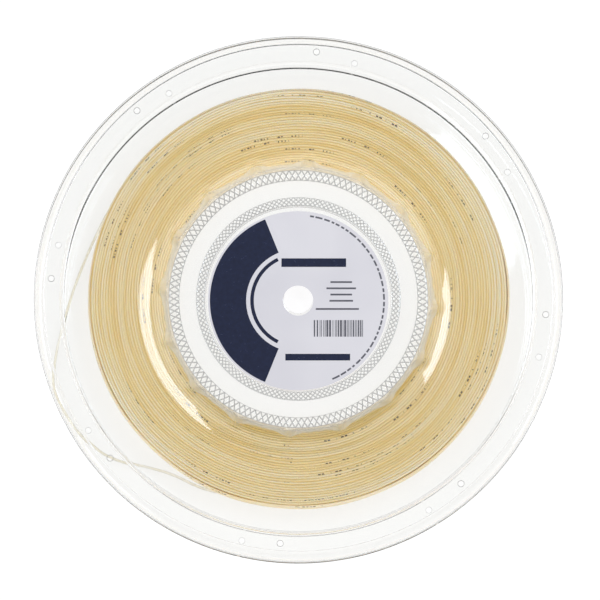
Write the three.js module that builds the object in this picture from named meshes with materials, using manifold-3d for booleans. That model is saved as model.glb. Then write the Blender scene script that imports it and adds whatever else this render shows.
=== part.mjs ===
// String reel for racket strings: a clear two-part spool with its wound string and its label.
// Millimetres, +Z up along the reel's axis. The reel lies on its rear face, which is z = 0.

import * as THREE from 'three';
import { mergeVertices } from 'three/addons/utils/BufferGeometryUtils.js';
import Module from 'manifold-3d';

const wasm = await Module();
wasm.setup();

// Overall size of the reel
const reelDiameter = 270;
const reelThickness = 22;

// Clear shells, formed from sheet and welded back to back at their webs
const sheet = 1.2; // thickness of the sheet
const weldGap = 0.2; // between the two webs, outside the weld lines
const boreDiameter = 15; // spindle hole
const rimCurl = 5; // outer radius of the edge that curls in over the string
const rimSlot = 7; // all-round opening between the two curled edges
const bandWidth = 7.8; // flat band that the reel rests on, inside the curl
const bandStep = 1.6; // how far the band stands out from the flange
const stepRun = 0.8; // radial length of the sloping step
const tieHoleDiameter = 3;
const tieHoleCount = 8;
const lobeCount = 16; // ribs on the hub that key the first turns of string
const lobeHeight = 3;
const lobeFlank = 0.12; // share of the height that is left a facet away from a rib
const firstLobeAngle = 4.2; // degrees clockwise from +Y, for ribs and tie holes alike

// Hub, from its wall inwards
const hubRadius = 67.9; // string side of the wall, between two ribs
const flareReach = 15; // the wall turns into the flange along a quarter ellipse
const flareDepth = 6;
const footMargin = 0.6; // from the wall to the outer weld line
const outerWeldWidth = 5.2;
const webRingWidth = 8.8; // plain web between the two weld lines
const innerWeldWidth = 4.2;
const weldRidge = 0.3; // height of the weld lines over the web
const ridgeRun = 0.3; // radial length of a ridge's slope
const labelMargin = 1.0; // from the inner weld line to the label

// Label and string
const labelThickness = 0.2;
const labelLift = 0.05; // adhesive under the label
const labelBoreMargin = 0.5; // the label's hole is this much larger all round
const windingDiameter = 214.8;
const windingClearance = 0.2; // to the shells, on all sides
const windingCrown = 1.2; // radial fall of the winding's outer face at its edges
const stringDiameter = 1.3;

// Facets
const ringFacets = 64; // a multiple of the number of ribs
const flareFacets = 5;
const curlFacets = 4;
const holeFacets = 10;
const stringFacets = 8;
const stringSteps = 64;

// Radii and heights that follow. Heights are counted from the middle plane outwards.
const halfThickness = reelThickness / 2;
const rimRadius = reelDiameter / 2;
const bandOuterRadius = rimRadius - rimCurl;
const bandInnerRadius = bandOuterRadius - bandWidth;
const tieHoleRadius = bandInnerRadius + bandWidth / 2;
const flangeFace = halfThickness - bandStep;
const flangeInside = flangeFace - sheet;
const webInside = weldGap / 2;
const webFace = webInside + sheet;
const flareRadius = hubRadius + flareReach; // where the flange turns flat
const flareFoot = flangeInside - flareDepth;
const hubFaceRadius = hubRadius - sheet;
const outerWeldRadius = hubFaceRadius - footMargin;
const innerWeldRadius = outerWeldRadius - outerWeldWidth - webRingWidth;
const labelRadius = innerWeldRadius - innerWeldWidth - labelMargin;
const boreRadius = boreDiameter / 2;
const windingInnerRadius = hubRadius + lobeHeight + windingClearance;
const windingOuterRadius = windingDiameter / 2;

const clearPlastic = { color: 0xf4f5f2, roughness: 0.08, metalness: 0, transparent: true, opacity: 0.35 };
const stringNylon = { color: 0xe2cc95, roughness: 0.35, metalness: 0 };
const labelPaper = { color: 0xdcd9de, roughness: 0.45, metalness: 0 };

const radians = (degrees) => THREE.MathUtils.degToRad(degrees);

// Points of a quarter ellipse about a centre, from angle 0 (towards the axis or the rim) to
// 90 degrees (outwards). A negative reach bulges towards the axis.
function quarter(centreRadius, centreHeight, reach, height, facets) {
  const points = [];
  for (let i = 0; i <= facets; i++) {
    const angle = (Math.PI / 2) * (i / facets);
    points.push([centreRadius + reach * Math.cos(angle), centreHeight + height * Math.sin(angle)]);
  }
  return points;
}

// A raised line on the web, from its inner to its outer radius
function ridge(innerRadius, outerRadius) {
  const top = webFace + weldRidge;
  return [
    [innerRadius, webFace],
    [innerRadius + ridgeRun, top],
    [outerRadius - ridgeRun, top],
    [outerRadius, webFace],
  ];
}

// Section of one shell as [radius, height] points: its string side outwards from the bore, round
// the edge of the curl, and back over its face.
function shellSection() {
  const stringSide = [
    [boreRadius, webInside],
    [hubRadius, webInside],
    ...quarter(flareRadius, flareFoot, -flareReach, flareDepth, flareFacets),
    [bandInnerRadius - stepRun + sheet / 2, flangeInside],
    [bandInnerRadius + sheet / 2, halfThickness - sheet],
    ...quarter(bandOuterRadius, halfThickness - rimCurl, rimCurl - sheet, rimCurl - sheet, curlFacets)
      .reverse(),
    [rimRadius - sheet, rimSlot / 2],
  ];
  const face = [
    [boreRadius, webFace],
    ...ridge(innerWeldRadius - innerWeldWidth, innerWeldRadius),
    ...ridge(outerWeldRadius - outerWeldWidth, outerWeldRadius),
    [hubFaceRadius, webFace + footMargin],
    ...quarter(flareRadius, flareFoot, -flareReach - sheet, flareDepth + sheet, flareFacets),
    [bandInnerRadius - stepRun, flangeFace],
    [bandInnerRadius, halfThickness],
    ...quarter(bandOuterRadius, halfThickness - rimCurl, rimCurl, rimCurl, curlFacets).reverse(),
    [rimRadius, rimSlot / 2],
  ];
  return [...stringSide, ...face.reverse()];
}

// Section of the winding: it fills the space between the flanges and lies along both flares.
function windingSection() {
  const side = flangeInside - windingClearance;
  const reach = flareRadius - windingInnerRadius;
  const depth = flareDepth - windingClearance;
  const upper = [
    [windingOuterRadius, side / 2],
    [windingOuterRadius - windingCrown, side],
    ...quarter(flareRadius, flareFoot, -reach, depth, flareFacets).reverse(),
  ];
  const lower = upper.map(([radius, height]) => [radius, -height]).reverse();
  return [...upper, ...lower];
}

// Turns a closed section round the axis. A section that runs counter-clockwise in radius and
// height gives faces that point out.
function turned(section, facets = ringFacets) {
  const points = [...section, section[0]].map(([radius, height]) => new THREE.Vector2(radius, height));
  const start = radians(180 - firstLobeAngle);
  const geometry = new THREE.LatheGeometry(points, facets, start, 2 * Math.PI);
  geometry.rotateX(Math.PI / 2);
  return closed(geometry);
}

function closed(geometry) {
  geometry.deleteAttribute('normal');
  geometry.deleteAttribute('uv');
  return mergeVertices(geometry);
}

// Pushes the hub wall and its flare out into ribs that fade out where the flange turns flat.
function addLobes(geometry) {
  const place = geometry.getAttribute('position');
  const facetsPerLobe = ringFacets / lobeCount;
  const facetAngle = (2 * Math.PI) / ringFacets;
  for (let i = 0; i < place.count; i++) {
    const x = place.getX(i);
    const y = place.getY(i);
    const radius = Math.hypot(x, y);
    if (radius <= outerWeldRadius || radius >= flareRadius) continue;
    const facet = Math.round((Math.atan2(x, y) - radians(firstLobeAngle)) / facetAngle);
    const beside = Math.abs(((facet % facetsPerLobe) + facetsPerLobe) % facetsPerLobe);
    const away = Math.min(beside, facetsPerLobe - beside);
    const share = away === 0 ? 1 : away === 1 ? lobeFlank : 0;
    const fade = Math.min(1, (flareRadius - radius) / flareReach);
    const scale = (radius + lobeHeight * share * fade) / radius;
    place.setXY(i, x * scale, y * scale);
  }
  return geometry;
}

function toSolid(geometry) {
  const mesh = new wasm.Mesh({
    numProp: 3,
    vertProperties: Float32Array.from(geometry.getAttribute('position').array),
    triVerts: Uint32Array.from(geometry.getIndex().array),
  });
  return new wasm.Manifold(mesh);
}

function toGeometry(solid) {
  const mesh = solid.getMesh();
  const geometry = new THREE.BufferGeometry();
  geometry.setAttribute('position', new THREE.BufferAttribute(mesh.vertProperties, 3));
  geometry.setIndex(new THREE.BufferAttribute(mesh.triVerts, 1));
  return geometry;
}

// One cutter for each tie hole, through the band
function tieHoles() {
  const cutters = [];
  for (let i = 0; i < tieHoleCount; i++) {
    const angle = radians(firstLobeAngle + (360 / tieHoleCount) * i);
    const cutter = new THREE.CylinderGeometry(tieHoleDiameter / 2, tieHoleDiameter / 2, 4 * sheet, holeFacets);
    cutter.rotateX(Math.PI / 2);
    cutter.translate(tieHoleRadius * Math.sin(angle), tieHoleRadius * Math.cos(angle), halfThickness);
    cutters.push(toSolid(closed(cutter)));
  }
  return wasm.Manifold.union(cutters);
}

// The front shell about the middle plane. Its mirror image is the rear one.
function shell() {
  const formed = toSolid(addLobes(turned(shellSection())));
  return formed.subtract(tieHoles());
}

function label() {
  const bottom = webFace + labelLift;
  const top = bottom + labelThickness;
  const inner = boreRadius + labelBoreMargin;
  return turned([
    [inner, bottom],
    [labelRadius, bottom],
    [labelRadius, top],
    [inner, top],
  ]);
}

// The loose outer turn, from where it leaves the winding, round inside the curled edge and back.
// It lies on the rear shell.
const slackTurnPoints = [
  [-98.6, 45.0, 4.2],
  [-102.3, 36.3, 3.9],
  [-108.5, 22.6, 3.65],
  [-116.7, 0.5, 3.65],
  [-120.7, -14.8, 3.65],
  [-123.6, -27.2, 3.1],
  [-124.7, -37.2, 3.1],
  [-123.9, -46.1, 3.7],
  [-120.6, -53.8, 3.7],
  [-116.3, -61.1, 3.3],
  [-111.6, -67.6, 2.9],
  [-105.6, -73.6, 3.0],
  [-98.2, -79.2, 3.3],
  [-89.1, -82.9, 3.7],
  [-77.4, -85.6, 3.65],
  [-65.7, -89.0, 3.8],
  [-48.9, -96.5, 4.2],
];

function slackTurn() {
  const points = slackTurnPoints.map(([x, y, z]) => new THREE.Vector3(x, y, z));
  const path = new THREE.CatmullRomCurve3(points);
  const section = new THREE.Shape();
  for (let i = 0; i < stringFacets; i++) {
    const angle = (2 * Math.PI * i) / stringFacets;
    const x = (stringDiameter / 2) * Math.cos(angle);
    const y = (stringDiameter / 2) * Math.sin(angle);
    if (i === 0) section.moveTo(x, y);
    else section.lineTo(x, y);
  }
  section.closePath();
  return closed(new THREE.ExtrudeGeometry(section, { steps: stringSteps, extrudePath: path }));
}

function piece(name, geometry, look, height = 0) {
  geometry.computeVertexNormals();
  const mesh = new THREE.Mesh(geometry, new THREE.MeshStandardMaterial(look));
  mesh.name = name;
  mesh.position.z = height;
  return mesh;
}

const half = shell();
const group = new THREE.Group();
group.add(
  piece('front_shell', toGeometry(half), clearPlastic, halfThickness),
  piece('rear_shell', toGeometry(half.mirror([0, 0, 1])), clearPlastic, halfThickness),
  piece('front_label', label(), labelPaper, halfThickness),
  piece('string_winding', turned(windingSection()), stringNylon, halfThickness),
  piece('string_slack_turn', slackTurn(), stringNylon),
);

export default group;
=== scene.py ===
import math
import random

import bmesh
import bpy
from mathutils import Matrix, Vector, noise


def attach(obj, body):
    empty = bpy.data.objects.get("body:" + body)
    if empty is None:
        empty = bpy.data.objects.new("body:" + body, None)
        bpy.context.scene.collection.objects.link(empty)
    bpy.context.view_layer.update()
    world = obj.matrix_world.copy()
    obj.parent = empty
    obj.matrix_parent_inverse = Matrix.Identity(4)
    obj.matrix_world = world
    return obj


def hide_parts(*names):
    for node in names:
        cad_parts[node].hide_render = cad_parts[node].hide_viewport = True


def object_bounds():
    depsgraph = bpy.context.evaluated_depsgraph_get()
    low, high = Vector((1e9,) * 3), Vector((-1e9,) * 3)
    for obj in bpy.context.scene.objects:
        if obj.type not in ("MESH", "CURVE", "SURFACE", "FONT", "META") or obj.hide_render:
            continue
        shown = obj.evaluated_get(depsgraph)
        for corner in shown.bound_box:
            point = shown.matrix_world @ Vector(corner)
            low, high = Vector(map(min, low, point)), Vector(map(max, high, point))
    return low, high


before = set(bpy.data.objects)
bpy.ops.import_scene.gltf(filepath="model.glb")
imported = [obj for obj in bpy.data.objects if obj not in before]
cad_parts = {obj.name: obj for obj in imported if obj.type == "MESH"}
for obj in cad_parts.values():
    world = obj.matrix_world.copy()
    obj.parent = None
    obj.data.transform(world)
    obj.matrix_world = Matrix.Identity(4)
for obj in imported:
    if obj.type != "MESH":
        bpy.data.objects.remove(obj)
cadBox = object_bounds()
mm = 0.001
middle = (cadBox[0].z + cadBox[1].z) / 2  # height of the plane where the two halves meet
rimRadius = (cadBox[1].x - cadBox[0].x) / 2 / mm
halfThickness = (cadBox[1].z - cadBox[0].z) / 2 / mm
print("frame loaded")


camera = {
    "lens": 354.0,
    "distance": 3.0,  # from the front face
    "elevation": 83.6,  # degrees, so it looks a little along +Y
    "aim": (0.00082, -0.00180),  # on the front face, beside the axis
}


def addObject(name, data):
    made = bpy.data.objects.new(name, data)
    bpy.context.scene.collection.objects.link(made)
    return made


def makeCamera(spec):
    tilt = math.radians(spec["elevation"])
    aim = Vector((*spec["aim"], cadBox[1].z))
    back = Vector((0, -math.cos(tilt), math.sin(tilt)))
    data = bpy.data.cameras.new("camera")
    data.lens = spec["lens"]
    eye = addObject("camera", data)
    eye.location = aim + back * spec["distance"]
    eye.rotation_euler = (-back).to_track_quat("-Z", "Y").to_euler()
    bpy.context.scene.camera = eye


makeCamera(camera)


shell = {  # millimetres; heights are from the middle plane outwards
    "sheet": 1.2,
    "rimSheet": 0.9,  # drawn out thinner in the deep bends of the rim
    "webGap": 0.2,
    "bore": 7.5,
    "boreRound": 0.2,
    "labelBead": (47.1, 47.7, 0.22),  # inner radius, outer radius, height
    "beadSide": 0.15,
    "innerWeld": (47.9, 52.1),
    "outerWeld": (60.9, 66.1),
    "weldRows": 8,
    "weldTeeth": 128,  # round each weld line
    "weldHeight": 0.34,
    "weldValley": 0.15,  # share of that height that is left between the diamonds
    "weldMargin": 0.3,
    "hubRadius": 67.9,
    "hubFoot": 0.5,  # radius of the bend from the web to the hub wall
    "flareReach": 15.0,
    "flareAxes": (32.8, 8.93),  # radial and height half axes of the flare's ellipse
    "flareTurn": 57.1,  # degrees of it from the hub wall to the flange
    "bandStep": 1.6,
    "stepFoot": 119.1,  # radius where the flange turns up into the rim band
    "stepBends": (1.1, 0.25),  # tighter side of the bends at the foot and the top of that step
    # each lip has the radius of its centre, its outer and inner bend radius and the degrees it ends at
    "frontForm": {"stepSlope": 49, "lip": (129.1, 1.6, 0.5, 41)},
    "rearForm": {"stepSlope": 60, "lip": (130.4, 4.4, 3.5, 8)},
    "curl": 2.5,  # radius of the rim's outer bend
    "slot": 7.0,
    "lobes": 16,
    "lobeHeight": 3.0,
    "lobeHalfWidth": 4.6,
    "lobeReach": 6.6,  # from the hub wall to where the lobes have died away
    "lobeRise": (0.9, 4.2),  # heights between which the lobes grow from the round foot of the wall
    "firstAngle": 4.2,  # degrees clockwise from +Y, for ribs and tie holes
    "flute": 0.05,  # depth of the fine flutes down the hub wall
    "tieHole": 1.5,
    "tieHoles": 8,
    "tieHoleRadius": 126.1,
    "rearTurn": 9.0,  # degrees that the rear shell's tie holes are turned from the front ones
    "facets": 512,
}


petLook = {
    # by how squarely the sheet is seen: a faint near-white tint face on, turning to painted grey shade edge
    # on
    "facing": [(0.0, "#FEFEFD"), (0.5, "#F8F7F5"), (0.85, "#F0EEEC"), (1.0, "#DEDCDA")],
    "greyFrom": (84, 90),  # radii between which the painted grey shade of a slanting view sets in
    # painted shade: the grey painted into the knurl's press lines, the weld rings' dashed edges and the
    # rings round the tie holes
    "weldLine": "#838280",
    "weldShade": 0.62,
    "pressLine": (0.12, 0.035),  # in teeth: where a press line fades out, and its core's half width
    "edgeLine": 0.045,  # share of a weld ring's width that its dashed edge of painted shade takes
    "edgeDash": 0.325,  # teeth that a dash of that edge is long, out of every half tooth
    "edgeFaint": 0.4,  # painted shade between those dashes
    "holeShade": (0.95, 0.45),  # of the painted shade in the rings round the tie holes' edges, front and rear
    "holeShadeWidth": (0.2, 0.08),  # mm: where that painted ring fades out, and its core's half width
    "frost": (66.2, 68.7, 2.2),  # radii where the milky hub wall starts and ends, and how far ribs carry it
    "frostEdge": (0.7, 4.0, 0.55),  # mm over which it sets in and thins out, and the share that is left
    "ragged": (4.0, 1.2),  # mm: grain of its uneven edge, and how far that moves the edge
    "milk": "#E3D9C3",
    "milkShare": 0.55,
    "roughness": (0.05, 0.3, 0.28),  # most of the handled sheet's, of a press line's and of the frost's
    "wave": (22.0, 0.12),  # mm: spacing and height of the waves left by forming
    "scuff": 1.5,  # mm between the marks of handling
}


def colour(hexCode):
    channels = [int(hexCode[i:i + 2], 16) / 255 for i in (1, 3, 5)]
    linear = [c / 12.92 if c <= 0.04045 else ((c + 0.055) / 1.055) ** 2.4 for c in channels]
    return (*linear, 1.0)


def addNode(tree, kind, inputs=(), **settings):
    # inputs go by number or by name; each is a value, an output, or a node whose first output is meant
    node = tree.nodes.new("ShaderNode" + kind)
    for name, value in settings.items():
        setattr(node, name, value)
    for socket, value in inputs.items() if isinstance(inputs, dict) else enumerate(inputs):
        if isinstance(value, bpy.types.Node):
            value = value.outputs[0]
        if isinstance(value, bpy.types.NodeSocket):
            tree.links.new(value, node.inputs[socket])
        else:
            node.inputs[socket].default_value = value
    return node


def newMaterial(name):
    material = bpy.data.materials.new(name)
    material.use_nodes = True
    tree = material.node_tree
    tree.nodes.clear()
    output = addNode(tree, "OutputMaterial")
    return material, tree, output


def setStops(ramp, stops):
    elements = ramp.color_ramp.elements
    while len(elements) < len(stops):
        elements.new(0.5)
    for element, (place, value) in zip(elements, stops):
        element.position = place
        element.color = value


def takeMesh(bm, name):
    mesh = bpy.data.meshes.new(name)
    bm.to_mesh(mesh)
    bm.free()
    return mesh


def toFrame(bm, side=1):
    # from millimetres about the middle plane to metres in the frame; side -1 mirrors to the rear
    placed = Matrix.Translation((0, 0, middle)) @ Matrix.Diagonal((mm, mm, mm * side, 1))
    bmesh.ops.transform(bm, matrix=placed, verts=bm.verts)


def finishPiece(bm, name, materials, node, sharpAngle):
    mesh = takeMesh(bm, name)
    for material in materials:
        mesh.materials.append(material)
    mesh.shade_smooth()
    mesh.set_sharp_from_angle(angle=math.radians(sharpAngle))
    piece = addObject(name, mesh)
    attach(piece, "root")
    if node:
        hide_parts(node)
    print("made", name, len(mesh.polygons), "faces")
    return piece


def weldLines(tree, radius, angle, span, rows):
    # crossing press lines of a knurled weld ring, for their painted grey shade and their roughness: 1 on a
    # line, 0 on the raised diamonds between
    teeth = shell["weldTeeth"] / (2 * math.pi)
    fade, core = petLook["pressLine"]
    across = addNode(tree, "MapRange", {
        "Value": radius, "From Min": span[0] * mm, "From Max": span[1] * mm}, clamp=False)
    tooth = addNode(tree, "Math", (angle, teeth, 0.5), operation="MULTIPLY_ADD")
    slant = addNode(tree, "Math", (across, rows, -0.5 * rows), operation="MULTIPLY_ADD")
    shade = 0.0
    for direction in ("ADD", "SUBTRACT"):
        phase = addNode(tree, "Math", (tooth, slant), operation=direction)
        away = addNode(tree, "Math", (phase, 0.5), operation="PINGPONG")
        line = addNode(tree, "MapRange", {"Value": away, "From Min": fade, "From Max": core})
        shade = addNode(tree, "Math", (line, shade), operation="MAXIMUM")
    dashPlace = addNode(tree, "Math", (tooth, 0.5, 0.0), operation="WRAP")
    dash = addNode(tree, "Math", (dashPlace, petLook["edgeDash"]), operation="LESS_THAN")
    dashed = addNode(tree, "Math", (dash, petLook["edgeFaint"]), operation="ADD")
    inside = addNode(tree, "Math", (across, 0.5, 0.5), operation="COMPARE")
    between = addNode(tree, "Math", (across, 0.5, 0.5 - petLook["edgeLine"]), operation="COMPARE")
    onEdge = addNode(tree, "Math", (inside, between), operation="SUBTRACT")
    edge = addNode(tree, "Math", (onEdge, dashed), operation="MULTIPLY")
    both = addNode(tree, "Math", (shade, edge), operation="MAXIMUM")
    return addNode(tree, "Math", (both, inside), operation="MULTIPLY")


def paintedHoleShade(tree, radius, angle, firstHole):
    # painted shade in a ring round each tie hole's edge: the angle is wrapped so that every hole lands on
    # one place
    share = 2 * math.pi / shell["tieHoles"]
    fade, core = petLook["holeShadeWidth"]
    fromFirst = addNode(tree, "Math", (angle, math.radians(firstHole)), operation="SUBTRACT")
    wrapped = addNode(tree, "Math", (fromFirst, share / 2, -share / 2), operation="WRAP")
    along = addNode(tree, "Math", (wrapped, shell["tieHoleRadius"] * mm), operation="MULTIPLY")
    out = addNode(tree, "Math", (radius, shell["tieHoleRadius"] * mm), operation="SUBTRACT")
    offset = addNode(tree, "CombineXYZ", (along, out))
    away = addNode(tree, "VectorMath", (offset,), operation="LENGTH").outputs["Value"]
    fromEdge = addNode(tree, "Math", (away, (shell["tieHole"] + 0.05) * mm), operation="SUBTRACT")
    near = addNode(tree, "Math", (fromEdge,), operation="ABSOLUTE")
    return addNode(tree, "MapRange", {"Value": near, "From Min": fade * mm, "From Max": core * mm})


def hubFrost(tree, place, radius, angle):
    # where the hub wall is milky: out to a scalloped edge that follows the ribs
    inner, outer, scallop = petLook["frost"]
    setsIn, thins, left = petLook["frostEdge"]
    grain, move = petLook["ragged"]
    turned = addNode(tree, "Math", (angle, shell["lobes"]), operation="MULTIPLY")
    swell = addNode(tree, "Math", (turned,), operation="COSINE")
    lifted = addNode(tree, "Math", (swell, 0.5, 0.5), operation="MULTIPLY_ADD")
    rib = addNode(tree, "Math", (lifted, 2.5), operation="POWER")
    carried = addNode(tree, "Math", (rib, scallop * mm, outer * mm), operation="MULTIPLY_ADD")
    ragged = addNode(tree, "TexNoise", {"Vector": place, "Scale": 1 / (grain * mm), "Detail": 2.0})
    edge = addNode(tree, "Math", (ragged, move * mm, carried), operation="MULTIPLY_ADD")
    within = addNode(tree, "Math", (edge, radius), operation="SUBTRACT")
    starts = addNode(tree, "MapRange", {
        "Value": radius, "From Min": (inner - 0.2) * mm, "From Max": inner * mm})
    ends = addNode(tree, "MapRange", {"Value": within, "From Min": 0.0, "From Max": setsIn * mm})
    fades = addNode(tree, "MapRange", {
        "Value": within, "From Min": 0.0, "From Max": thins * mm, "To Min": 1.0, "To Max": left})
    shown = addNode(tree, "Math", (starts, ends), operation="MULTIPLY")
    return addNode(tree, "Math", (shown, fades), operation="MULTIPLY")


def makeClearPet(name, firstHole, holeShade):
    # PET sheet, thermoformed: water-clear and glossy, with painted grey shade where a wall is seen edge on
    # and along the press lines of the weld and round the tie holes, faintly wavy from forming, and frosted
    # along the press lines of the weld and on the hub wall
    material, tree, output = newMaterial(name)
    place = addNode(tree, "TexCoord").outputs["Object"]
    parts = addNode(tree, "SeparateXYZ", (place,)).outputs
    angle = addNode(tree, "Math", (parts["X"], parts["Y"]), operation="ARCTAN2")  # clockwise from +Y
    ribAngle = addNode(tree, "Math", (angle, math.radians(shell["firstAngle"])), operation="SUBTRACT")
    flat = addNode(tree, "VectorMath", (place, (1, 1, 0)), operation="MULTIPLY")
    radius = addNode(tree, "VectorMath", (flat,), operation="LENGTH").outputs["Value"]

    # painted shade: beyond the hub, the sheet's colour turns grey where a wall is seen edge on
    facing = addNode(tree, "LayerWeight", {"Blend": 0.5}).outputs["Facing"]
    depth = addNode(tree, "ValToRGB", (facing,))
    setStops(depth, [(stop, colour(tint)) for stop, tint in petLook["facing"]])
    greyStart, greyEnd = petLook["greyFrom"]
    outside = addNode(tree, "MapRange", {
        "Value": radius, "From Min": greyStart * mm, "From Max": greyEnd * mm})
    clear = addNode(tree, "Mix", {
        "Factor": outside, "A": colour(petLook["facing"][0][1]), "B": depth}, data_type="RGBA")
    welds = addNode(tree, "Math", (weldLines(tree, radius, ribAngle, shell["outerWeld"], 1.0),
                                   weldLines(tree, radius, ribAngle, shell["innerWeld"], 2.0)),
                    operation="MAXIMUM")
    weldGrooveShade = addNode(tree, "Math", (welds, petLook["weldShade"]), operation="MULTIPLY")
    holeShadeRing = addNode(tree, "Math", (paintedHoleShade(tree, radius, angle, firstHole), holeShade), operation="MULTIPLY")
    marks = addNode(tree, "Math", (weldGrooveShade, holeShadeRing), operation="MAXIMUM")
    # painted shade: the press lines, the dashed ring edges and the rings round the tie holes are painted
    # grey into the sheet's colour
    tint = addNode(tree, "Mix", {
        "Factor": marks, "A": clear.outputs["Result"], "B": colour(petLook["weldLine"])}, data_type="RGBA")

    frost = hubFrost(tree, place, radius, ribAngle)
    handledMost, weldMost, frostMost = petLook["roughness"]
    grain = addNode(tree, "TexNoise", {"Vector": place, "Scale": 1 / (petLook["scuff"] * mm), "Detail": 3.0})
    handled = addNode(tree, "MapRange", {
        "Value": grain, "From Min": 0.35, "From Max": 0.75, "To Min": 0.0, "To Max": handledMost})
    weldRough = addNode(tree, "Math", (welds, weldMost), operation="MULTIPLY")
    frostRough = addNode(tree, "Math", (frost, frostMost), operation="MULTIPLY")
    formed = addNode(tree, "Math", (weldRough, frostRough), operation="MAXIMUM")
    roughness = addNode(tree, "Math", (handled, formed), operation="MAXIMUM")
    spacing, height = petLook["wave"]
    wave = addNode(tree, "TexNoise", {"Vector": place, "Scale": 1 / (spacing * mm), "Detail": 2.0})
    bump = addNode(tree, "Bump", {"Height": wave, "Strength": 0.25, "Distance": height * mm})
    glass = addNode(tree, "BsdfPrincipled", {
        "Base Color": tint.outputs["Result"], "Roughness": roughness, "Normal": bump,
        "Transmission Weight": 1.0, "IOR": 1.57})
    milk = addNode(tree, "BsdfDiffuse", {"Color": colour(petLook["milk"]), "Normal": bump})
    milky = addNode(tree, "Math", (frost, petLook["milkShare"]), operation="MULTIPLY")
    mixed = addNode(tree, "MixShader", (milky, glass, milk))
    tree.links.new(mixed.outputs[0], output.inputs["Surface"])
    return material


stringColours = {
    "pale": "#F1E0C1",
    "straw": "#ECD198",
    "gold": "#DFBA66",
    "deepGold": "#D3A342",
    "ink": "#3E280F",
    "single": ("#EFE9D6", "#F8F5EC"),  # one strand over clear plastic
    "packedShade": ("#D8B05A", "#E4C47A"),  # the layers deep between the outer turns, painted a deeper, saturated gold as shade
}
stringPrint = {
    "period": 310.0,  # mm of string from one printed group to the next
    "group": 27.0,  # mm that a group of dashes takes
    "pitch": 1.8,  # mm from dash to dash
    "dashes": (0.95, -0.114),  # share of the pitch that a dash takes: this much times 0 to 1, plus this
    "side": 0.25,  # of the string's girth, where the line of print runs
    "halfBand": 0.11,  # of the girth, on each side of that line
    "darkness": 0.95,
}


def makeStringNylon():
    # natural nylon monofilament, extruded: translucent straw with a wet-looking skin
    material, tree, output = newMaterial("naturalNylonString")
    tone = addNode(tree, "Attribute", attribute_name="tone").outputs["Fac"]
    ramp = addNode(tree, "ValToRGB", (tone,))
    setStops(ramp, [(0.0, colour(stringColours["deepGold"])), (0.3, colour(stringColours["gold"])),
                    (0.62, colour(stringColours["straw"])), (1.0, colour(stringColours["pale"]))])
    strand = addNode(tree, "UVMap", uv_map="strand")
    parts = addNode(tree, "SeparateXYZ", (strand,)).outputs
    along, around = parts["X"], parts["Y"]  # mm along the string, and turns round it

    groupPlace = addNode(tree, "Math", (along, stringPrint["period"]), operation="MODULO")
    inGroup = addNode(tree, "Math", (groupPlace, stringPrint["group"]), operation="LESS_THAN")
    dashPlace = addNode(tree, "Math", (along, stringPrint["pitch"]), operation="DIVIDE")
    dashNumber = addNode(tree, "Math", (dashPlace,), operation="FLOOR")
    chance = addNode(tree, "TexWhiteNoise", {"W": dashNumber}, noise_dimensions="1D")
    width = addNode(tree, "Math", (chance, *stringPrint["dashes"]), operation="MULTIPLY_ADD")
    inDash = addNode(tree, "Math", (dashPlace,), operation="FRACT")
    dash = addNode(tree, "Math", (inDash, width), operation="LESS_THAN")
    about = addNode(tree, "Math", (around,), operation="FRACT")
    band = addNode(tree, "Math", (about, stringPrint["side"], stringPrint["halfBand"]), operation="COMPARE")
    worn = addNode(tree, "TexNoise", {"Vector": strand, "Scale": 0.9, "Detail": 2.0})
    whole = addNode(tree, "Math", (worn, 0.4), operation="GREATER_THAN")
    ink = stringPrint["darkness"]
    for mask in (inGroup, dash, band, whole):
        ink = addNode(tree, "Math", (mask, ink), operation="MULTIPLY")

    tint = addNode(tree, "Mix", {
        "Factor": ink, "A": ramp, "B": colour(stringColours["ink"])}, data_type="RGBA")
    place = addNode(tree, "TexCoord").outputs["Object"]
    skin = addNode(tree, "TexNoise", {"Vector": place, "Scale": 1 / (0.8 * mm), "Detail": 2.0})
    roughness = addNode(tree, "MapRange", {"Value": skin, "To Min": 0.22, "To Max": 0.4})
    bump = addNode(tree, "Bump", {"Height": skin, "Strength": 0.2, "Distance": 0.03 * mm})
    nylon = addNode(tree, "BsdfPrincipled", {
        "Base Color": tint.outputs["Result"], "Roughness": roughness, "Normal": bump, "IOR": 1.53,
        "Subsurface Weight": 0.5, "Subsurface Radius": (1.0, 0.75, 0.35), "Subsurface Scale": 1.2 * mm})
    tree.links.new(nylon.outputs[0], output.inputs["Surface"])
    return material


def makeSingleNylon():
    # the same nylon where a single strand lies over clear plastic, so more light gets through it
    material, tree, output = newMaterial("naturalNylonSingleStrand")
    place = addNode(tree, "TexCoord").outputs["Object"]
    drift = addNode(tree, "TexNoise", {"Vector": place, "Scale": 1 / (14 * mm), "Detail": 1.0})
    ramp = addNode(tree, "ValToRGB", (drift,))
    dull, clear = stringColours["single"]
    setStops(ramp, [(0.35, colour(dull)), (0.7, colour(clear))])
    skin = addNode(tree, "TexNoise", {"Vector": place, "Scale": 1 / (0.8 * mm), "Detail": 2.0})
    roughness = addNode(tree, "MapRange", {"Value": skin, "To Min": 0.18, "To Max": 0.34})
    nylon = addNode(tree, "BsdfPrincipled", {
        "Base Color": ramp, "Roughness": roughness, "IOR": 1.53, "Transmission Weight": 1.0})
    tree.links.new(nylon.outputs[0], output.inputs["Surface"])
    return material


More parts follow.
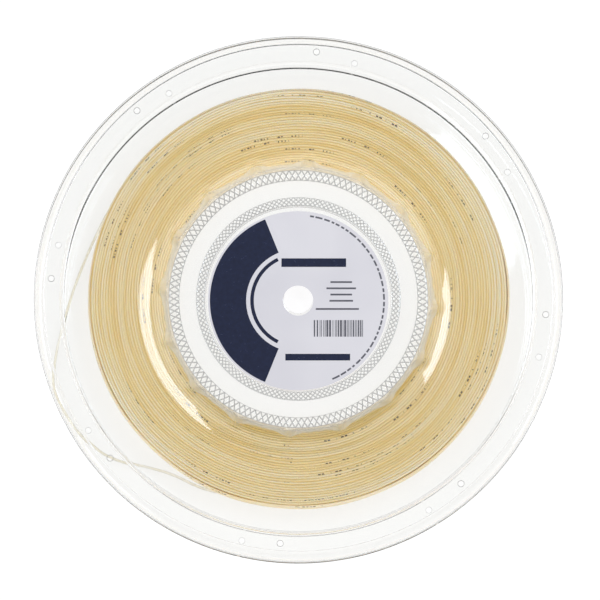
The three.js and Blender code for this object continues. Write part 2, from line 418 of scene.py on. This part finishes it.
def makePackedNylon():
    # layers of the same string seen deep between the outer turns: the straw nylon with painted shade, a
    # saturated gold
    material, tree, output = newMaterial("packedNylonPaintedShade")
    place = addNode(tree, "TexCoord").outputs["Object"]
    drift = addNode(tree, "TexNoise", {"Vector": place, "Scale": 1 / (18 * mm), "Detail": 3.0})
    ramp = addNode(tree, "ValToRGB", (drift,))
    deep, light = stringColours["packedShade"]
    setStops(ramp, [(0.3, colour(deep)), (0.7, colour(light))])
    nylon = addNode(tree, "BsdfPrincipled", {"Base Color": ramp, "Roughness": 0.45, "IOR": 1.53})
    tree.links.new(nylon.outputs[0], output.inputs["Surface"])
    return material


labelColours = {
    "paper": ("#D8D5DB", "#E0DDE2"),
    "navy": ("#0B1533", "#101B3C"),
    "grey": ("#54535C", "#605F68"),
}


def makeLabelPaper():
    # coated label paper, pressed flat: a cool pale grey with a soft satin
    material, tree, output = newMaterial("coatedLabelPaper")
    place = addNode(tree, "TexCoord").outputs["Object"]
    fibre = addNode(tree, "TexNoise", {"Vector": place, "Scale": 1 / (0.5 * mm), "Detail": 4.0})
    cloud = addNode(tree, "TexNoise", {"Vector": place, "Scale": 1 / (30 * mm), "Detail": 1.0})
    ramp = addNode(tree, "ValToRGB", (cloud,))
    dark, light = labelColours["paper"]
    setStops(ramp, [(0.3, colour(dark)), (0.7, colour(light))])
    roughness = addNode(tree, "MapRange", {"Value": fibre, "To Min": 0.34, "To Max": 0.46})
    bump = addNode(tree, "Bump", {"Height": fibre, "Strength": 0.15, "Distance": 0.02 * mm})
    paper = addNode(tree, "BsdfPrincipled", {
        "Base Color": ramp, "Roughness": roughness, "Normal": bump, "IOR": 1.48})
    tree.links.new(paper.outputs[0], output.inputs["Surface"])
    return material


def makeInk(name, colours, gloss):
    # offset ink on coated paper: a thin even film, a little uneven in its gloss
    material, tree, output = newMaterial(name)
    place = addNode(tree, "TexCoord").outputs["Object"]
    mottle = addNode(tree, "TexNoise", {"Vector": place, "Scale": 1 / (2 * mm), "Detail": 3.0})
    ramp = addNode(tree, "ValToRGB", (mottle,))
    dark, light = colours
    setStops(ramp, [(0.3, colour(dark)), (0.7, colour(light))])
    roughness = addNode(tree, "MapRange", {"Value": mottle, "To Min": gloss, "To Max": gloss + 0.08})
    ink = addNode(tree, "BsdfPrincipled", {"Base Color": ramp, "Roughness": roughness, "IOR": 1.5})
    tree.links.new(ink.outputs[0], output.inputs["Surface"])
    return material


frontPet = makeClearPet("clearPetFront", shell["firstAngle"], petLook["holeShade"][0])
rearPet = makeClearPet("clearPetRear", shell["firstAngle"] + shell["rearTurn"], petLook["holeShade"][1])
stringNylon = makeStringNylon()
singleNylon = makeSingleNylon()
shadedPackNylon = makePackedNylon()
labelPaper = makeLabelPaper()
navyInk = makeInk("navyInk", labelColours["navy"], 0.22)
greyInk = makeInk("greyInk", labelColours["grey"], 0.34)
print("materials made")


def spinSection(section, steps, start=0.0):
    # a closed section of radii and heights, turned once round the axis
    bm = bmesh.new()
    verts = [bm.verts.new((r * math.cos(start), r * math.sin(start), h)) for r, h in section]
    edges = [bm.edges.new((verts[i - 1], verts[i])) for i in range(len(verts))]
    bmesh.ops.spin(bm, geom=verts + edges, cent=(0, 0, 0), axis=(0, 0, 1), dvec=(0, 0, 0),
                   angle=2 * math.pi, steps=steps, use_merge=True)
    bmesh.ops.remove_doubles(bm, verts=bm.verts, dist=0.001)
    return bm


def arc(centreRadius, centreHeight, reach, height, start, end, count):
    points = []
    for i in range(count + 1):
        angle = math.radians(start + (end - start) * i / count)
        points.append((centreRadius + reach * math.cos(angle), centreHeight + height * math.sin(angle)))
    return points


def weldRows(span, height, count):
    return [(span[0] + (span[1] - span[0]) * i / count, height) for i in range(count + 1)]


def shellSection(form):
    sheet = shell["sheet"]
    webInside = shell["webGap"] / 2
    webFace = webInside + sheet
    flangeFace = halfThickness - shell["bandStep"]
    flangeInside = flangeFace - sheet
    long, high = shell["flareAxes"]
    flareCentre = shell["hubRadius"] + long
    flareFoot = flangeInside - high * math.sin(math.radians(shell["flareTurn"]))
    lipRadius, lipBend, lipInside, lipEnd = form["lip"]
    slope = math.radians(form["stepSlope"])
    footBend, topBend = shell["stepBends"]
    bends = footBend + topBend + sheet
    straight = shell["bandStep"] - bends * (1 - math.cos(slope))
    stepTop = shell["stepFoot"] + bends * math.sin(slope) + straight / math.tan(slope)
    footCentre = (shell["stepFoot"], flangeFace + footBend)
    topCentre = (stepTop, halfThickness - topBend - sheet)
    curlRadius = rimRadius - shell["curl"]
    flareEnd = 180 - shell["flareTurn"]
    boreRound, hubFoot = shell["boreRound"], shell["hubFoot"]
    flareStart = 180 - math.degrees(math.asin((webFace + hubFoot + 0.05 - flareFoot) / (high + sheet)))
    beadInner, beadOuter, beadHeight = shell["labelBead"]
    thin = shell["rimSheet"]
    edgeHeight = shell["slot"] / 2 + thin / 2
    face = [
        *arc(shell["bore"] + boreRound, webFace - boreRound, boreRound, boreRound, 180, 90, 2),
        (beadInner, webFace),
        (beadInner + shell["beadSide"], webFace + beadHeight),
        (beadOuter - shell["beadSide"], webFace + beadHeight),
        (beadOuter, webFace),
        *weldRows(shell["innerWeld"], webFace, shell["weldRows"]),
        (shell["innerWeld"][1] + shell["weldMargin"], webFace),
        (shell["outerWeld"][0] - shell["weldMargin"], webFace),
        *weldRows(shell["outerWeld"], webFace, shell["weldRows"]),
        *arc(shell["hubRadius"] - sheet - hubFoot, webFace + hubFoot, hubFoot, hubFoot, -80, 0, 4),
        *arc(flareCentre, flareFoot, long + sheet, high + sheet, flareStart, flareEnd, 26),
        *arc(*footCentre, footBend, footBend, -90, form["stepSlope"] - 90, 6),
        *arc(*topCentre, topBend + sheet, topBend + sheet, 90 + form["stepSlope"], 90, 6),
        *arc(lipRadius, halfThickness - lipBend, lipBend, lipBend, 90, lipEnd, 6),
        *arc(curlRadius, edgeHeight, shell["curl"], shell["curl"], lipEnd, 0, 8),
    ]
    back = [
        *arc(rimRadius - thin / 2, edgeHeight, thin / 2, thin / 2, -15, -165, 6),
        *arc(curlRadius, edgeHeight, shell["curl"] - thin, shell["curl"] - thin, 0, lipEnd, 8),
        *arc(lipRadius, halfThickness - lipBend, lipInside, lipInside, lipEnd, 90, 6),
        *arc(*topCentre, topBend, topBend, 90, 90 + form["stepSlope"], 4),
        *arc(*footCentre, footBend + sheet, footBend + sheet, form["stepSlope"] - 90, -90, 8),
        *arc(flareCentre, flareFoot, long, high, flareEnd, 180, 22),
        (shell["hubRadius"], webInside),
        (shell["bore"], webInside),
    ]
    return face + back


def lobeAt(angle, radius, height):
    # how far a rib of the hub stands out at this place on its wall
    lobeAngle = 2 * math.pi / shell["lobes"]
    away = (angle + lobeAngle / 2) % lobeAngle - lobeAngle / 2
    away = min(1.0, abs(away) * radius / shell["lobeHalfWidth"])
    fade = min(1.0, max(0.0, 1 - (radius - shell["hubRadius"]) / shell["lobeReach"]))
    low, high = shell["lobeRise"]
    share = min(1.0, max(0.0, (abs(height) - low) / (high - low)))
    return shell["lobeHeight"] * (0.5 + 0.5 * math.cos(math.pi * away)) * fade * share * (2 - share)


def formDetails(bm):
    webInside = shell["webGap"] / 2
    flareRadius = shell["hubRadius"] + shell["flareReach"]
    first = math.radians(shell["firstAngle"])
    for vert in bm.verts:
        radius = math.hypot(vert.co.x, vert.co.y)
        height = vert.co.z
        angle = math.atan2(vert.co.x, vert.co.y) - first
        for span, rows in ((shell["innerWeld"], 2), (shell["outerWeld"], 1)):
            if span[0] - 0.01 <= radius <= span[1] + 0.01 and height > webInside + 0.1:
                row = (radius - span[0]) / (span[1] - span[0])
                tooth = math.cos(shell["weldTeeth"] * angle)
                rise = 0.5 - 0.5 * tooth * math.cos(2 * math.pi * rows * row)
                inside = 0 < row - 0.01 and row + 0.01 < 1
                lifted = shell["weldValley"] + (1 - shell["weldValley"]) * rise if inside else 0.0
                vert.co.z = height + shell["weldHeight"] * lifted
        if shell["outerWeld"][1] + 0.05 < radius < flareRadius:
            fade = min(1.0, max(0.0, 1 - (radius - shell["hubRadius"]) / shell["lobeReach"]))
            flute = shell["flute"] * math.cos(shell["weldTeeth"] * angle) * fade
            grown = (radius + lobeAt(angle, radius, height) + flute) / radius
            vert.co.x *= grown
            vert.co.y *= grown


def cutTieHoles(bm, firstHole):
    cutters = bmesh.new()
    for i in range(shell["tieHoles"]):
        angle = math.radians(firstHole + 360 / shell["tieHoles"] * i)
        place = Vector((math.sin(angle), math.cos(angle), 0)) * shell["tieHoleRadius"]
        place.z = halfThickness - shell["sheet"] / 2
        bmesh.ops.create_cone(cutters, cap_ends=True, segments=28, radius1=shell["tieHole"],
                              radius2=shell["tieHole"], depth=4 * shell["sheet"],
                              matrix=Matrix.Translation(place))
    blank = addObject("shellBlank", takeMesh(bm, "shellBlank"))
    cutter = addObject("tieHoleCutter", takeMesh(cutters, "tieHoleCutter"))
    cut = blank.modifiers.new("cut", "BOOLEAN")
    cut.object = cutter
    cut.operation = "DIFFERENCE"
    cut.solver = "MANIFOLD"
    bpy.context.view_layer.update()
    drilled = bmesh.new()
    drilled.from_mesh(blank.evaluated_get(bpy.context.evaluated_depsgraph_get()).to_mesh())
    for thing in (blank, cutter):
        data = thing.data
        bpy.data.objects.remove(thing)
        bpy.data.meshes.remove(data)
    return drilled


def makeShell(name, node, form, side, firstHole, material):
    bm = spinSection(shellSection(form), shell["facets"], math.radians(90 - shell["firstAngle"]))
    formDetails(bm)
    bmesh.ops.recalc_face_normals(bm, faces=bm.faces)
    bm = cutTieHoles(bm, firstHole)
    toFrame(bm, side)
    if side < 0:
        bmesh.ops.recalc_face_normals(bm, faces=bm.faces)
    piece = finishPiece(bm, name, [material], node, 38)
    piece.visible_shadow = False  # light reaches the string through the clear sheet unweakened
    piece.visible_diffuse = False


makeShell("frontShell", "front_shell", shell["frontForm"], 1, shell["firstAngle"], frontPet)
makeShell("rearShell", "rear_shell", shell["rearForm"], -1, shell["firstAngle"] + shell["rearTurn"], rearPet)


winding = {
    "strand": 1.3,  # diameter of the string
    "pitch": 1.29,
    "sides": 8,
    "steps": 192,
    "clear": 0.14,  # between the outer turns and the shells
    "outerRadius": 107.3,
    "outerTurns": 11,
    "roundEdge": 0.7,  # the outermost face turn sits this much further in
    # how far the turns stray together, how far each by itself, and how far from the hub they do so in full
    "wander": (0.68, 0.32, 8.0),
    "dip": 0.22,
    "ribPush": 2.5,  # mm from the hub over which the ribs' push on the turns dies away
    "ribSink": 0.35,  # share of a rib's height that the turns farther out sink by
    "bodyRise": 0.3,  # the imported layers' surface lies this far over the face turns' middles
    "tone": (0.62, 0.05, 0.22, 0.18),  # mean, spread from turn to turn, streaks and broad patches
    # radius to count from, share of the way out where turns start to get paler, and how much paler
    "paleEdge": (72.0, 0.72, 0.32),
    "seed": 11,
}


def flareLine(angle):
    # where a strand's middle lies along the inside of the flare: 0 degrees is at the hub wall
    gap = winding["strand"] / 2 + winding["clear"]
    long, high = shell["flareAxes"]
    top = halfThickness - shell["bandStep"] - shell["sheet"]
    foot = top - high * math.sin(math.radians(shell["flareTurn"]))
    turn = math.radians(angle)
    return (shell["hubRadius"] + long - (long - gap) * math.cos(turn),
            min(foot + (high - gap) * math.sin(turn), top - gap))


def facePlaces():
    places = []
    angle = 0.0
    last = flareLine(0.0)
    places.append(last)
    while angle < shell["flareTurn"]:
        angle += 0.05
        here = flareLine(angle)
        if math.dist(here, last) >= winding["pitch"]:
            places.append(here)
            last = here
    flat = halfThickness - shell["bandStep"] - shell["sheet"] - winding["strand"] / 2 - winding["clear"]
    radius = last[0] + winding["pitch"]
    limit = winding["outerRadius"] - winding["strand"] / 2 - winding["roundEdge"]
    while radius <= limit:
        places.append((radius, flat))
        radius += winding["pitch"]
    return places


def strandOffset(radius, height, angle, turn):
    # outwards and towards the middle plane, for a strand that rides over ribs and other strands
    circle = Vector((math.sin(angle), math.cos(angle), 0))
    inner, foot = flareLine(0.0)
    shared = noise.noise(circle * 2.4 + Vector((0, 0, radius * 0.11)))
    own = noise.noise(circle * 3.1 + Vector((7.7, 3.1, turn * 5.3)))
    together, byItself, settled = winding["wander"]
    grown = min(1.0, (radius - inner) / settled)
    outward = grown * (together * shared + byItself * own)
    lobe = lobeAt(angle - math.radians(shell["firstAngle"]), radius, height)
    pushed = lobe * math.exp((inner - radius) / winding["ribPush"])
    sink = noise.noise(circle * 2.2 + Vector((1.3, 9.2, turn * 3.7)))
    inward = winding["dip"] * max(0.0, sink + 0.1) + winding["ribSink"] * (lobe - pushed)
    if abs(height) < foot:
        inward = 0.0
    return outward + pushed, inward


def makeTurnTemplate():
    # one closed turn of string, 1 in radius, with the strand's own section drawn 1 across
    bm = bmesh.new()
    section = bmesh.ops.create_circle(bm, segments=winding["sides"], radius=0.5, matrix=Matrix.Translation(
        (1, 0, 0)) @ Matrix.Rotation(math.pi / 2, 4, "X"))
    edges = list({edge for vert in section["verts"] for edge in vert.link_edges})
    bmesh.ops.spin(bm, geom=section["verts"] + edges, cent=(0, 0, 0), axis=(0, 0, 1), dvec=(0, 0, 0),
                   angle=2 * math.pi, steps=winding["steps"], use_merge=True)
    bmesh.ops.recalc_face_normals(bm, faces=bm.faces)
    return takeMesh(bm, "turnTemplate")


def addTurn(bm, template, radius, height, face, turn, rng):
    tone = bm.verts.layers.float["tone"]
    uv = bm.loops.layers.uv["strand"]
    vertsBefore, facesBefore = len(bm.verts), len(bm.faces)
    bm.from_mesh(template)
    bm.verts.ensure_lookup_table()
    bm.faces.ensure_lookup_table()
    roll = rng.uniform(-0.2, 0.2)
    offset = rng.uniform(0, stringPrint["period"])
    mean, spread, streaks, patches = winding["tone"]
    ownTone = rng.gauss(0, spread)
    paleFrom, paleStart, paleMost = winding["paleEdge"]
    band = (radius - paleFrom) / (winding["outerRadius"] - paleFrom)
    pale = paleMost * max(0.0, (band - paleStart) / (1 - paleStart))
    around = {}
    for vert in bm.verts[vertsBefore:]:
        angle = math.atan2(vert.co.x, vert.co.y)
        out = math.hypot(vert.co.x, vert.co.y) - 1
        around[vert] = (angle, math.atan2(face * vert.co.z, out) / (2 * math.pi))
        circle = Vector((math.sin(angle), math.cos(angle), 0))
        streak = noise.noise(circle * 2.0 + Vector((4.1, 0.7, turn * 2.9)))
        broad = noise.noise(circle * 1.1 + Vector((0, 2.2, radius * 0.16)))
        shade = mean + pale + ownTone + streaks * streak + patches * broad
        vert[tone] = min(1.0, max(0.0, shade))
        outward, inward = strandOffset(radius, height, angle, turn)
        reach = radius + out * winding["strand"] + outward
        vert.co = (reach * math.sin(angle), reach * math.cos(angle),
                   height + vert.co.z * winding["strand"] - face * inward)
    for f in bm.faces[facesBefore:]:
        places = [around[loop.vert] for loop in f.loops]
        farthest = max(angle for angle, _ in places)
        highest = max(about for _, about in places)
        for loop, (angle, about) in zip(f.loops, places):
            angle += 2 * math.pi if farthest - angle > math.pi else 0
            about += 1 if highest - about > 0.5 else 0
            loop[uv].uv = ((angle + math.pi) * radius + offset, about + roll)


def makeTurns(name, places, face, rng, firstTurn, template):
    bm = bmesh.new()
    bm.verts.layers.float.new("tone")
    bm.loops.layers.uv.new("strand")
    for i, (radius, height) in enumerate(places):
        addTurn(bm, template, radius, face * height, face, firstTurn + i, rng)
    toFrame(bm)
    return finishPiece(bm, name, [stringNylon], "string_winding", 80)


def makeWinding():
    rng = random.Random(winding["seed"])
    template = makeTurnTemplate()
    places = facePlaces()
    makeTurns("windingFrontTurns", places, 1, rng, 0, template)
    makeTurns("windingRearTurns", places, -1, rng, 100, template)
    topHeight = places[-1][1] - winding["pitch"]
    outer = []
    for i in range(winding["outerTurns"]):
        uneven = 0.15 * math.sin(2.4 * i)
        outer.append((winding["outerRadius"] - winding["strand"] / 2 + uneven,
                      topHeight - 2 * topHeight * i / (winding["outerTurns"] - 1)))
    makeTurns("windingOuterTurns", outer, 1, rng, 200, template)
    bpy.data.meshes.remove(template)


def makeWindingBody():
    rise = winding["bodyRise"]
    slantRise = 0.6 * rise  # along each axis on the flare, where the surface slants
    outer = winding["outerRadius"] - winding["strand"]
    flat = facePlaces()[-1][1] + rise
    upper = [(outer, flat)]
    flareSteps = 10
    for i in range(flareSteps + 1):
        radius, height = flareLine(shell["flareTurn"] * (1 - i / flareSteps))
        upper.append((radius - slantRise, min(flat, height + slantRise)))
    section = upper + [(r, -h) for r, h in reversed(upper)]
    bm = spinSection(section, winding["steps"])
    for vert in bm.verts:
        radius = math.hypot(vert.co.x, vert.co.y)
        angle = math.atan2(vert.co.x, vert.co.y) - math.radians(shell["firstAngle"])
        lobe = lobeAt(angle, radius, vert.co.z)
        vert.co.x *= 1 + lobe / radius
        vert.co.y *= 1 + lobe / radius
    bmesh.ops.recalc_face_normals(bm, faces=bm.faces)
    toFrame(bm)
    finishPiece(bm, "windingCore", [shadedPackNylon], "string_winding", 40)


makeWinding()
makeWindingBody()


slackTurn = {
    "diameter": 1.3,
    "length": 203.0,
    "points": [  # where it leaves the winding, round inside the curled edge, and back
        (-95.4, 49.2, 4.3), (-98.6, 43.6, 4.2), (-102.3, 36.3, 3.9), (-108.5, 22.6, 3.65),
        (-116.7, 0.5, 3.65), (-120.7, -14.8, 3.65), (-123.6, -27.2, 3.1), (-124.7, -37.2, 3.1),
        (-123.9, -46.1, 3.7), (-120.6, -53.8, 3.7), (-116.3, -61.1, 3.3), (-111.6, -67.6, 2.9),
        (-105.6, -73.6, 3.0), (-98.2, -79.2, 3.3), (-89.1, -82.9, 3.7), (-77.4, -85.6, 3.65),
        (-65.7, -89.0, 3.8), (-48.9, -96.5, 4.2), (-42.0, -98.4, 4.3),
    ],
}


def makeSlackTurn():
    data = bpy.data.curves.new("slackTurn", "CURVE")
    data.dimensions = "3D"
    data.resolution_u = 8
    data.bevel_depth = slackTurn["diameter"] / 2 * mm
    data.bevel_resolution = 3
    data.use_fill_caps = True
    spline = data.splines.new("BEZIER")
    spline.bezier_points.add(len(slackTurn["points"]) - 1)
    for knot, place in zip(spline.bezier_points, slackTurn["points"]):
        knot.co = Vector(place) * mm
        knot.handle_left_type = knot.handle_right_type = "AUTO"
    data.materials.append(singleNylon)
    piece = addObject("slackTurn", data)
    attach(piece, "root")
    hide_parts("string_slack_turn")
    print("made slackTurn")


makeSlackTurn()


label = {
    "radius": 46.0,
    "hole": 7.7,
    "place": (-0.15, -1.05),  # stuck on a little off centre
    "bottom": 1.35,  # over the middle plane
    "thickness": 0.2,
    "ink": 0.02,
    "arcs": [(26.5, 45.0, 112, 248), (22.6, 24.4, 116, 244)],  # radii, then degrees from +X
    "bars": [(8.0, 19.5, 33.0, 4.4), (10.0, -29.0, 33.0, 3.4)],  # centre x and y, width, height
    "rules": [(22.0, 9.5, 11.0), (22.0, 6.3, 15.0), (22.0, 3.1, 11.0), (22.0, -0.1, 12.0),
              (20.0, -4.3, 22.0)],  # centre x and y, width
    "ruleHeight": 0.9,
    "stripes": (8.0, 33.0, -10.0, -18.5),  # left, right, top and bottom of the striped block
    "stripeWidths": (0.35, 0.35, 0.7, 1.0),
    "stripeGaps": (0.4, 0.4, 0.8),
    "rimDashes": (43.4, 44.3, 82, -62),
    "rimDashDegrees": (1.6, 5.5),
    "rimGapDegrees": (0.8, 1.6),
    "seed": 5,
}


def addSector(bm, inner, outer, start, end, base, material):
    first = math.radians(start)
    verts = [bm.verts.new((r * math.cos(first), r * math.sin(first), base)) for r in (inner, outer)]
    edge = bm.edges.new(verts)
    steps = max(2, int(abs(end - start) / 2))
    before = set(bm.faces)
    bmesh.ops.spin(bm, geom=verts + [edge], cent=(0, 0, 0), axis=(0, 0, 1), dvec=(0, 0, 0),
                   angle=math.radians(end - start), steps=steps)
    thicken(bm, [f for f in bm.faces if f not in before], material)


def thicken(bm, faces, material):
    grown = bmesh.ops.extrude_face_region(bm, geom=faces, use_keep_orig=True)["geom"]
    top = [item for item in grown if isinstance(item, bmesh.types.BMVert)]
    bmesh.ops.translate(bm, verts=top, vec=(0, 0, label["ink"]))
    for vert in top:
        for f in vert.link_faces:
            f.material_index = material
    for f in faces:
        f.material_index = material


def addBar(bm, x, y, width, height, base, material):
    size = Matrix.Diagonal((width, height, label["ink"], 1))
    place = Matrix.Translation((x, y, base + label["ink"] / 2))
    made = bmesh.ops.create_cube(bm, size=1.0, matrix=place @ size)
    for f in {f for vert in made["verts"] for f in vert.link_faces}:
        f.material_index = material


def makeLabel():
    bm = bmesh.new()
    for radius in (label["radius"], label["hole"]):
        bmesh.ops.create_circle(bm, segments=160, radius=radius,
                                matrix=Matrix.Translation((0, 0, label["bottom"])))
    bmesh.ops.bridge_loops(bm, edges=bm.edges[:])
    grown = bmesh.ops.extrude_face_region(bm, geom=bm.faces[:], use_keep_orig=True)["geom"]
    top = [item for item in grown if isinstance(item, bmesh.types.BMVert)]
    bmesh.ops.translate(bm, verts=top, vec=(0, 0, label["thickness"]))
    bmesh.ops.recalc_face_normals(bm, faces=bm.faces)
    bmesh.ops.translate(bm, verts=bm.verts, vec=(*label["place"], 0))
    toFrame(bm)
    finishPiece(bm, "frontLabel", [labelPaper], "front_label", 30)


def makeLabelPrint():
    bm = bmesh.new()
    base = label["bottom"] + label["thickness"] + 0.005
    navy, grey = 0, 1
    for inner, outer, start, end in label["arcs"]:
        addSector(bm, inner, outer, start, end, base, navy)
    for x, y, width, height in label["bars"]:
        addBar(bm, x, y, width, height, base, navy)
    for x, y, width in label["rules"]:
        addBar(bm, x, y, width, label["ruleHeight"], base, grey)
    rng = random.Random(label["seed"])
    left, right, high, low = label["stripes"]
    x = left
    while x < right:
        width = rng.choice(label["stripeWidths"])
        addBar(bm, x + width / 2, (high + low) / 2, width, high - low, base, grey)
        x += width + rng.choice(label["stripeGaps"])
    inner, outer, start, end = label["rimDashes"]
    angle = start
    while angle > end:
        length = rng.uniform(*label["rimDashDegrees"])
        addSector(bm, inner, outer, angle, angle - length, base, grey)
        angle -= length + rng.uniform(*label["rimGapDegrees"])
    bmesh.ops.recalc_face_normals(bm, faces=bm.faces)
    bmesh.ops.translate(bm, verts=bm.verts, vec=(*label["place"], 0))
    toFrame(bm)
    finishPiece(bm, "labelPrint", [navyInk, greyInk], None, 30)


makeLabel()
makeLabelPrint()


studio = {
    "floorRadius": 9.0,
    "floorGlow": 0.775,
    "floorWhite": 0.30,
    "pool": (0.22, 0.5, 0.12),  # radii between which the floor's light on the object falls to this share
    "boxes": [  # direction clockwise from +Y, degrees from straight up, width and height, radiance
        {"name": "leftBox", "azimuth": 294, "tilt": 32, "size": (0.40, 0.23), "glow": 4.8},
        {"name": "rightBox", "azimuth": 60, "tilt": 24, "size": (0.52, 0.23), "glow": 4.8},
    ],
    "boxDistance": 1.1,
    "boxTint": (0.78, 0.89, 1.0),
    "walls": 1.38,  # radiance of the white walls
    "wallFrom": (0.1, 0.45),  # sine of the elevations between which the horizon turns to wall
    "wallLift": 0.5,  # how much higher that starts towards +Y
    "ceiling": 0.45,
    "ceilingFrom": (0.72, 0.84),  # sine of the elevations between which the wall turns to ceiling
    "horizon": (0.95, 0.10),  # in front, and behind towards +Y
}


def makeFloor():
    material, tree, output = newMaterial("paleSweep")
    place = addNode(tree, "TexCoord").outputs["Object"]
    cloud = addNode(tree, "TexNoise", {"Vector": place, "Scale": 2.0, "Detail": 2.0})
    ramp = addNode(tree, "ValToRGB", (cloud,))
    low, high = studio["floorWhite"], studio["floorWhite"] * 1.02
    setStops(ramp, [(0.3, (low, low, low, 1)), (0.7, (high, high, high, 1))])
    matt = addNode(tree, "BsdfDiffuse", (ramp,))
    near, far, left = studio["pool"]
    away = addNode(tree, "VectorMath", (place,), operation="LENGTH").outputs["Value"]
    pool = addNode(tree, "MapRange", {
        "Value": away, "From Min": near, "From Max": far, "To Min": 1.0, "To Max": left,
    }, interpolation_type="SMOOTHSTEP")
    seen = addNode(tree, "LightPath").outputs["Is Camera Ray"]
    shown = addNode(tree, "Math", (pool, seen), operation="MAXIMUM")
    strength = addNode(tree, "Math", (shown, studio["floorGlow"]), operation="MULTIPLY")
    glow = addNode(tree, "Emission", {"Strength": strength})
    both = addNode(tree, "AddShader", (matt, glow))
    tree.links.new(both.outputs[0], output.inputs["Surface"])
    bm = bmesh.new()
    bmesh.ops.create_circle(bm, cap_ends=True, segments=96, radius=studio["floorRadius"],
                            matrix=Matrix.Translation((0, 0, -0.3 * mm)))
    mesh = takeMesh(bm, "floor")
    mesh.materials.append(material)
    addObject("floor", mesh)


def makeLights():
    for box in studio["boxes"]:
        data = bpy.data.lights.new(box["name"], "AREA")
        data.shape = "RECTANGLE"
        data.size, data.size_y = box["size"]
        data.color = studio["boxTint"]
        data.energy = box["glow"] * math.pi * data.size * data.size_y
        light = addObject(box["name"], data)
        azimuth, tilt = math.radians(box["azimuth"]), math.radians(box["tilt"])
        level = math.sin(tilt)
        back = Vector((math.sin(azimuth) * level, math.cos(azimuth) * level, math.cos(tilt)))
        light.location = back * studio["boxDistance"]
        light.rotation_euler = back.to_track_quat("Z", "Y").to_euler()
        light.visible_camera = False


def makeWorld():
    # white walls under a darker ceiling, dimmer low down and nearly black there towards +Y
    world = bpy.data.worlds.new("studioRoom")
    bpy.context.scene.world = world
    world.use_nodes = True
    tree = world.node_tree
    tree.nodes.clear()
    direction = addNode(tree, "TexCoord").outputs["Generated"]
    parts = addNode(tree, "SeparateXYZ", (direction,)).outputs
    away = addNode(tree, "MapRange", {
        "Value": parts["Y"], "From Min": -0.3, "From Max": 0.9, "To Min": 0.0, "To Max": studio["wallLift"],
    }, interpolation_type="SMOOTHSTEP")
    lifted = addNode(tree, "Math", (parts["Z"], away), operation="SUBTRACT")
    front, behind = studio["horizon"]
    horizon = addNode(tree, "MapRange", {
        "Value": parts["Y"], "From Min": 0.1, "From Max": 0.8, "To Min": front, "To Max": behind})
    wallStart, wallFull = studio["wallFrom"]
    wall = addNode(tree, "MapRange", {
        "Value": lifted, "From Min": wallStart, "From Max": wallFull, "To Min": horizon,
        "To Max": studio["walls"]}, interpolation_type="SMOOTHSTEP")
    ceilingStart, ceilingFull = studio["ceilingFrom"]
    ceiling = addNode(tree, "MapRange", {
        "Value": parts["Z"], "From Min": ceilingStart, "From Max": ceilingFull,
    }, interpolation_type="SMOOTHSTEP")
    room = addNode(tree, "Mix", {"Factor": ceiling, "A": wall, "B": studio["ceiling"]}, data_type="FLOAT")
    seen = addNode(tree, "LightPath").outputs["Is Camera Ray"]
    strength = addNode(tree, "Mix", {"Factor": seen, "A": room, "B": 1.0}, data_type="FLOAT")
    sky = addNode(tree, "Background", {"Color": (1, 1, 1, 1), "Strength": strength})
    output = addNode(tree, "OutputWorld")
    tree.links.new(sky.outputs[0], output.inputs["Surface"])


makeFloor()
makeLights()
makeWorld()
bpy.context.scene.view_settings.view_transform = "Standard"
print("studio made")
